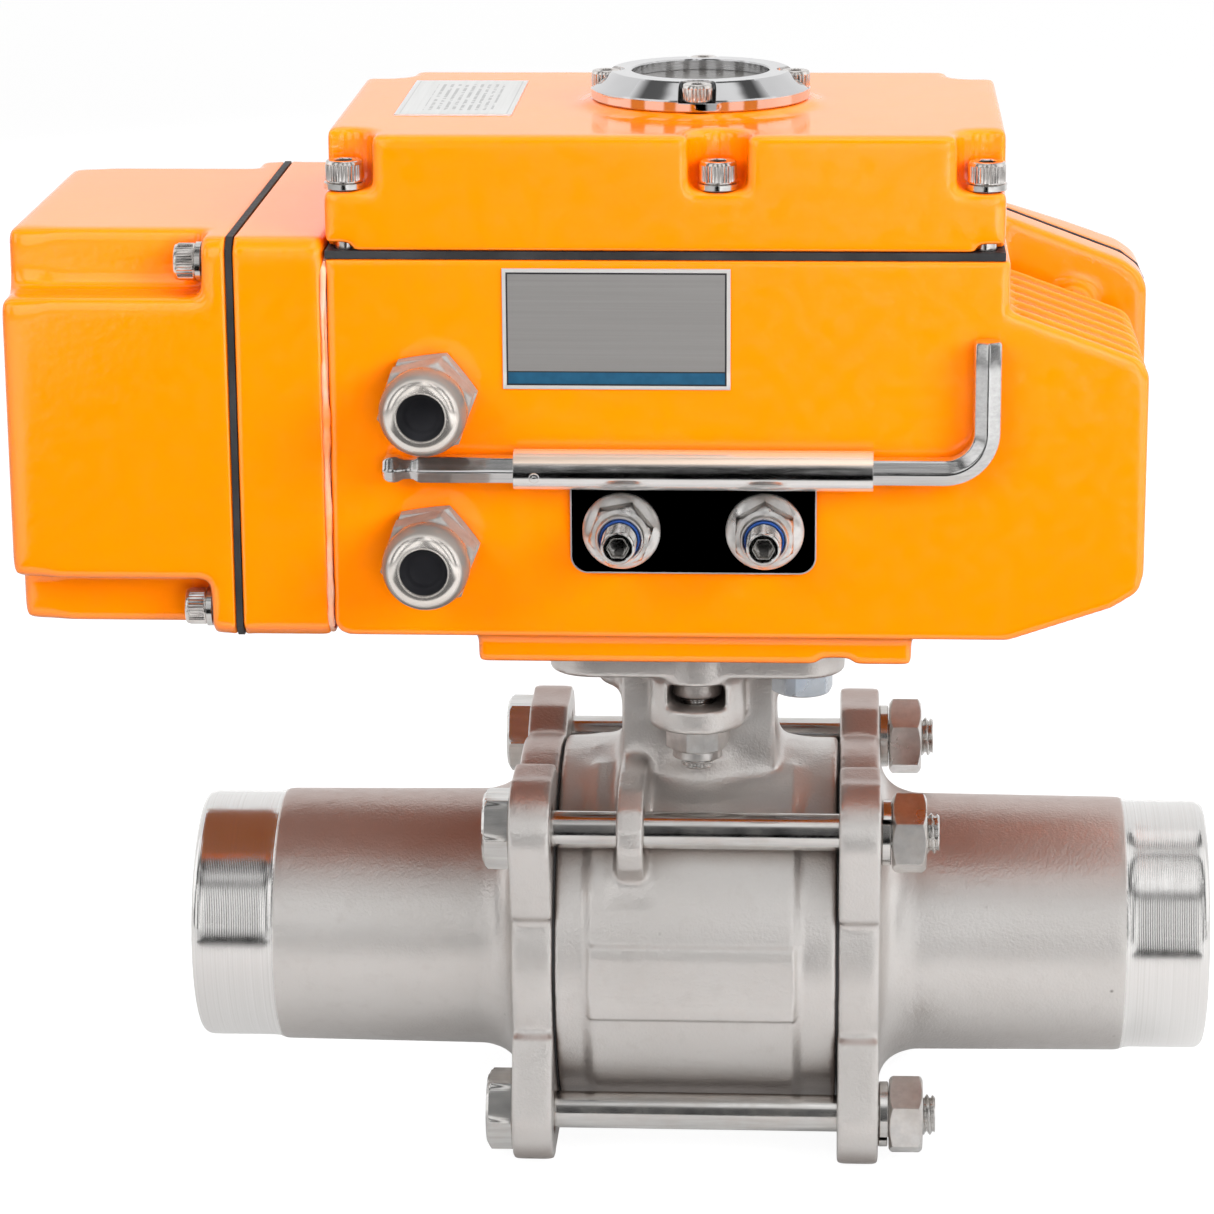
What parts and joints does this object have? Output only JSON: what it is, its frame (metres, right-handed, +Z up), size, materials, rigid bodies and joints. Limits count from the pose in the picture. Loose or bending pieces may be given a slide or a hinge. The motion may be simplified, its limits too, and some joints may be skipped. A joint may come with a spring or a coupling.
{
  "type": "motorized valve actuator",
  "caption": "Electric quarter-turn actuator with gear drive, control box and sight window, bolted on a stainless three-piece butt-weld ball valve.",
  "frame": {"origin": "centre of the valve ball, where the pipe axis and the stem axis cross", "axes": "+X along the pipe, away from the control box; +Z up the valve stem to the sight window; -Y towards the front with the cable glands"},
  "size_m": [0.2798, 0.1299, 0.2573],
  "materials": {
    "orange_powder_coat": "smooth glossy orange powder coat over cast aluminium, fine orange-peel texture",
    "cast_stainless": "bead-blasted warm grey cast stainless steel, with lathe-turned weld ends",
    "bright_stainless": "bright machined stainless fasteners with fine turning lines",
    "zinc_steel": "bluish zinc-plated steel",
    "chrome": "mirror chrome plating",
    "nickel_brass": "warm nickel-plated brass",
    "black_rubber": "matte black rubber",
    "white_sealant": "semi-matte white silicone bead",
    "ptfe": "waxy white PTFE",
    "graphite_seal": "dark graphite-filled seal",
    "polished_ball": "mirror-polished stainless ball",
    "sight_glass": "clear tempered glass",
    "indicator_red": "glossy red moulded plastic",
    "nameplate_metal": "brushed aluminium plate with a blue strip and no text",
    "label_metal": "blank satin silver label",
    "polished_plate": "mirror-polished stainless holder",
    "key_steel": "bright nickel-plated hexagon key",
    "bronze": "machined gear bronze",
    "drive_steel": "turned alloy steel",
    "motor_case": "black painted motor can",
    "plate_steel": "zinc-plated sheet steel",
    "switch_plastic": "black moulded switch bodies",
    "circuit_board": "green circuit board with black and green components"
  },
  "bodies": {
    "valve_and_casing": {"valve_body": "cast_stainless", "end_cap_left": "cast_stainless", "end_cap_right": "cast_stainless", "seat_left": "ptfe", "seat_right": "ptfe", "body_seals": "graphite_seal", "stem_packing": "ptfe", "packing_gland": "cast_stainless", "tie_bolts": "bright_stainless", "tie_nuts": "bright_stainless", "tie_spring_washers": "bright_stainless", "pad_studs": "bright_stainless", "pad_stud_nuts": "bright_stainless", "pad_stud_collars": "cast_stainless", "pad_bolts": "zinc_steel", "housing": "orange_powder_coat", "top_cover": "orange_powder_coat", "cover_gasket": "black_rubber", "casing_screws": "bright_stainless", "casing_screw_washers": "bright_stainless", "sight_ring": "chrome", "sight_glass": "sight_glass", "sight_oring": "black_rubber", "sight_ring_screws": "bright_stainless", "box_adapter": "orange_powder_coat", "adapter_sealant": "white_sealant", "box_gasket": "black_rubber", "control_box_cover": "orange_powder_coat", "rear_cover": "orange_powder_coat", "rear_gasket": "black_rubber", "manual_drive_plug": "black_rubber", "nameplate": "nameplate_metal", "top_label": "label_metal", "gland_bodies": "nickel_brass", "gland_cap_nuts": "nickel_brass", "gland_inserts": "black_rubber", "key_holder": "polished_plate", "stop_screws": "bright_stainless", "stop_lock_nuts": "bright_stainless", "drive_motor": "motor_case", "motor_bracket": "plate_steel", "worm_bearings": "bright_stainless", "output_bushes": "bronze", "limit_switches": "switch_plastic", "mounting_plate": "plate_steel", "control_board": "circuit_board"},
    "output_drive": {"output_shaft": "drive_steel", "sector_wheel": "bronze", "cams": "ptfe", "position_indicator": "indicator_red", "valve_stem": "bright_stainless", "stem_nut": "bright_stainless", "ball": "polished_ball"},
    "worm_drive": {"worm_shaft": "drive_steel", "worm": "bronze", "worm_gear": "bronze"},
    "motor_rotor": {"motor_pinion": "bronze"},
    "key": {"hex_key": "key_steel"}
  },
  "joints": [
    {"name": "output_turn", "type": "hinge", "parent": "valve_and_casing", "child": "output_drive", "pos_m": [0, 0, 0.1], "axis": [0, 0, 1], "range_deg": [0, 90]},
    {"name": "worm_spin", "type": "hinge", "parent": "valve_and_casing", "child": "worm_drive", "pos_m": [0, 0.036, 0.112], "axis": [1, 0, 0], "range_deg": [0, 2880]},
    {"name": "motor_spin", "type": "hinge", "parent": "valve_and_casing", "child": "motor_rotor", "pos_m": [0.034, 0.033, 0.1267], "axis": [1, 0, 0], "range_deg": [-4320, 0]},
    {"name": "key_slide", "type": "slide", "parent": "valve_and_casing", "child": "key", "axis": [1, 0, 0], "range_m": [0, 0.115]}
  ],
  "couplings": [
    {"joint": "worm_spin", "follows": "output_turn", "ratio": 32},
    {"joint": "motor_spin", "follows": "output_turn", "ratio": -48}
  ]
}
